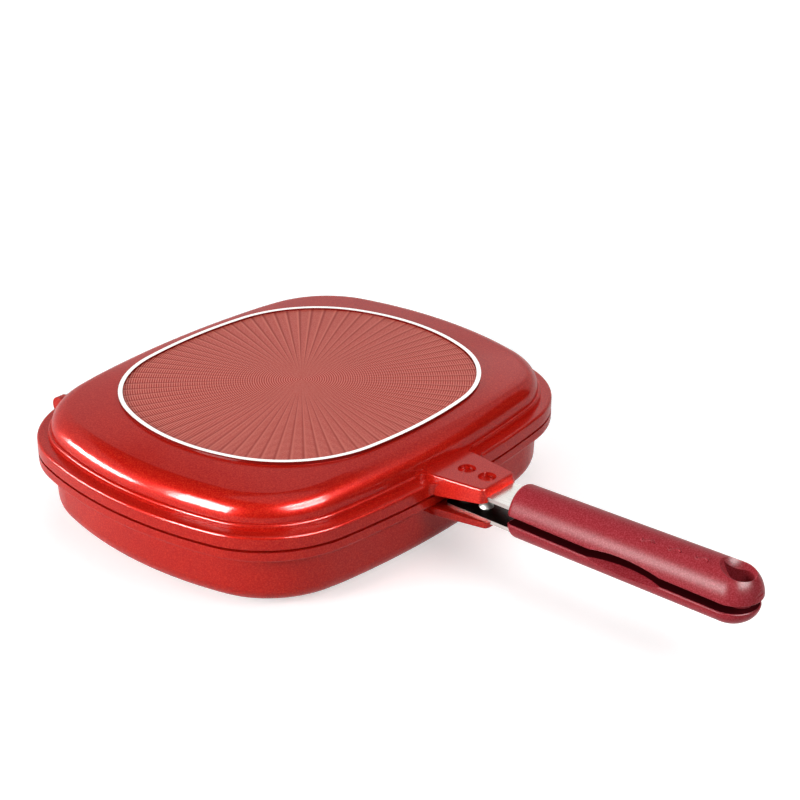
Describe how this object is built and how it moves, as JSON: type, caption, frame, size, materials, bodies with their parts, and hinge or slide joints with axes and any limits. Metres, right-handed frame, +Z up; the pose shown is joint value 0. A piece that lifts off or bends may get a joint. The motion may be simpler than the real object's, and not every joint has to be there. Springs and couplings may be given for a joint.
{
  "type": "double-sided frying pan",
  "caption": "Closed double-sided frying pan: two red cast pans hinged together, each with half of a long split handle, and a bright ring round a sunburst base.",
  "frame": {"origin": "centre of the lower contact ring's face, on which the pan stands", "axes": "+X along the handle away from the pan, +Y across the pan, +Z up"},
  "size_m": [0.4665, 0.306, 0.0778],
  "materials": {
    "red_enamel": "gloss",
    "polished_ring": "polished",
    "sunburst_plate": "satin",
    "silicone": "matte",
    "strap_steel": "satin",
    "screw_steel": "satin",
    "wine_bakelite": "satin",
    "magnet": "matte",
    "magnet_cover": "matte",
    "black_nylon": "matte"
  },
  "bodies": {
    "lower_pan": {"lower_pan_shell": "red_enamel", "lower_contact_ring": "polished_ring", "lower_base_plate": "sunburst_plate", "lower_strap": "strap_steel", "lower_lug_rivets": "screw_steel", "lower_grip": "wine_bakelite", "lower_grip_screw": "screw_steel", "lower_magnet": "magnet", "lower_magnet_cover": "magnet_cover", "hinge_pins": "screw_steel", "hinge_spacers": "screw_steel", "hinge_bushes": "black_nylon"},
    "upper_pan": {"upper_pan_shell": "red_enamel", "upper_contact_ring": "polished_ring", "upper_base_plate": "sunburst_plate", "rim_seal": "silicone", "upper_strap": "strap_steel", "upper_lug_rivets": "screw_steel", "upper_grip": "wine_bakelite", "upper_grip_screw": "screw_steel", "upper_magnet": "magnet", "upper_magnet_cover": "magnet_cover"}
  },
  "joints": [
    {"name": "hinge", "type": "hinge", "parent": "lower_pan", "child": "upper_pan", "pos_m": [-0.1295, 0, 0.047], "axis": [0, -1, 0], "range_deg": [0, 180]}
  ]
}
